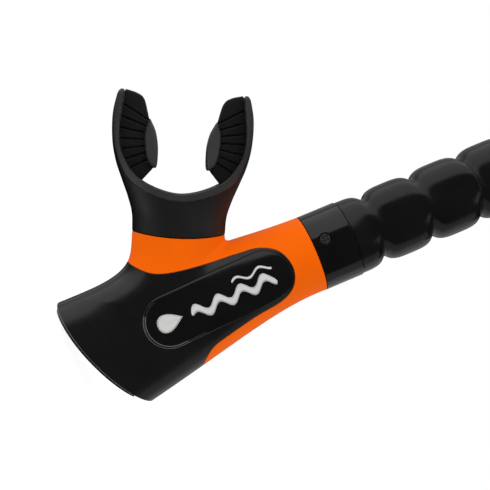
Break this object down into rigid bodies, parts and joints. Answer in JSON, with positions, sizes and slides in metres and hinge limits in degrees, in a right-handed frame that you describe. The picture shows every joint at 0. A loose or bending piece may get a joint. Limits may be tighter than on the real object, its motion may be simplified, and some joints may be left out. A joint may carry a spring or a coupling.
{
  "type": "diving snorkel",
  "caption": "Dry-top diving snorkel with a purge chamber, corrugated flexible hose, mask strap keeper and float valve.",
  "frame": {"origin": "bite centre, midway between the two bite tabs of the mouthpiece", "axes": "+Z along the tube towards the dry top, -X towards the wearer's face, -Y the side with the front badge"},
  "size_m": [0.1359, 0.038, 0.45],
  "materials": {
    "silicone": "matte",
    "orange_shell": "glossy",
    "black_housing": "satin gloss",
    "black_badge": "satin gloss, white wave mark",
    "black_grille": "matte",
    "black_inner": "matte",
    "clear_silicone": "translucent silicone",
    "seal_rubber": "matte",
    "gloss_collar": "glossy",
    "button": "glossy",
    "spring_steel": "brushed",
    "hose": "satin",
    "barrel_black": "satin gloss",
    "orange_trim": "satin",
    "keeper_soft": "matte",
    "keeper_black": "fine texture",
    "keeper_orange": "satin",
    "steel_pin": "brushed",
    "drytop_black": "satin",
    "float_white": "matte",
    "orange_cap": "glossy"
  },
  "bodies": {
    "lower_body": {"mouthpiece": "silicone", "body_shell": "orange_shell", "purge_housing": "black_housing", "front_badge": "black_badge", "back_badge": "black_badge", "purge_cover": "black_grille", "valve_seat": "black_inner", "spigot_seal": "seal_rubber", "hose_collar": "gloss_collar", "button_spring": "spring_steel", "lower_hose_insert": "black_inner"},
    "purge_valve": {"purge_valve": "clear_silicone"},
    "front_button": {"front_button": "button"},
    "back_button": {"back_button": "button"},
    "hose_middle": {"flex_hose": "hose"},
    "upper_tube": {"upper_hose_insert": "black_inner", "upper_collar": "gloss_collar", "barrel": "barrel_black", "trim_ring": "orange_trim", "drytop_body": "drytop_black", "float_retainer": "orange_trim", "cap_gasket": "seal_rubber", "drytop_cap": "orange_cap"},
    "keeper_slider": {"keeper_sleeve": "keeper_soft"},
    "keeper_swivel": {"keeper_ring": "keeper_black", "keeper_pin": "steel_pin"},
    "keeper_gate": {"keeper_gate": "keeper_orange"},
    "float": {"float": "float_white", "float_seal": "seal_rubber"}
  },
  "joints": [
    {"name": "purge_valve_lift", "type": "slide", "parent": "lower_body", "child": "purge_valve", "axis": [0.36, 0, -0.933], "range_m": [0, 0.0015], "stiffness_N_per_m": 100},
    {"name": "front_button_press", "type": "slide", "parent": "lower_body", "child": "front_button", "axis": [0.3584, 0.9336, 0], "range_m": [0, 0.0018], "stiffness_N_per_m": 800, "deforming": ["button_spring"]},
    {"name": "back_button_press", "type": "slide", "parent": "lower_body", "child": "back_button", "axis": [0.3584, -0.9336, 0], "range_m": [0, 0.0018], "stiffness_N_per_m": 800, "deforming": ["button_spring"]},
    {"name": "hose_bend_side", "type": "hinge", "parent": "lower_body", "child": "hose_middle", "pos_m": [0.06797, 0, 0.0801], "axis": [1, 0, 0], "range_deg": [-40, 40], "stiffness_Nm_per_rad": 3, "deforming": ["flex_hose"]},
    {"name": "hose_bend_fore", "type": "hinge", "parent": "hose_middle", "child": "upper_tube", "pos_m": [0.06797, 0, 0.1394], "axis": [0, 1, 0], "range_deg": [-40, 40], "stiffness_Nm_per_rad": 3, "deforming": ["flex_hose"]},
    {"name": "keeper_slide", "type": "slide", "parent": "upper_tube", "child": "keeper_slider", "axis": [0, 0, 1], "range_m": [-0.012, 0.05]},
    {"name": "keeper_turn", "type": "hinge", "parent": "keeper_slider", "child": "keeper_swivel", "pos_m": [0.06797, 0, 0.2303], "axis": [0, 0, 1], "continuous": true},
    {"name": "keeper_gate_open", "type": "hinge", "parent": "keeper_swivel", "child": "keeper_gate", "pos_m": [0.04397, 0, 0.2457], "axis": [0, 1, 0], "range_deg": [0, 75]},
    {"name": "float_rise", "type": "slide", "parent": "upper_tube", "child": "float", "axis": [0, 0, 1], "range_m": [0, 0.0072]}
  ]
}
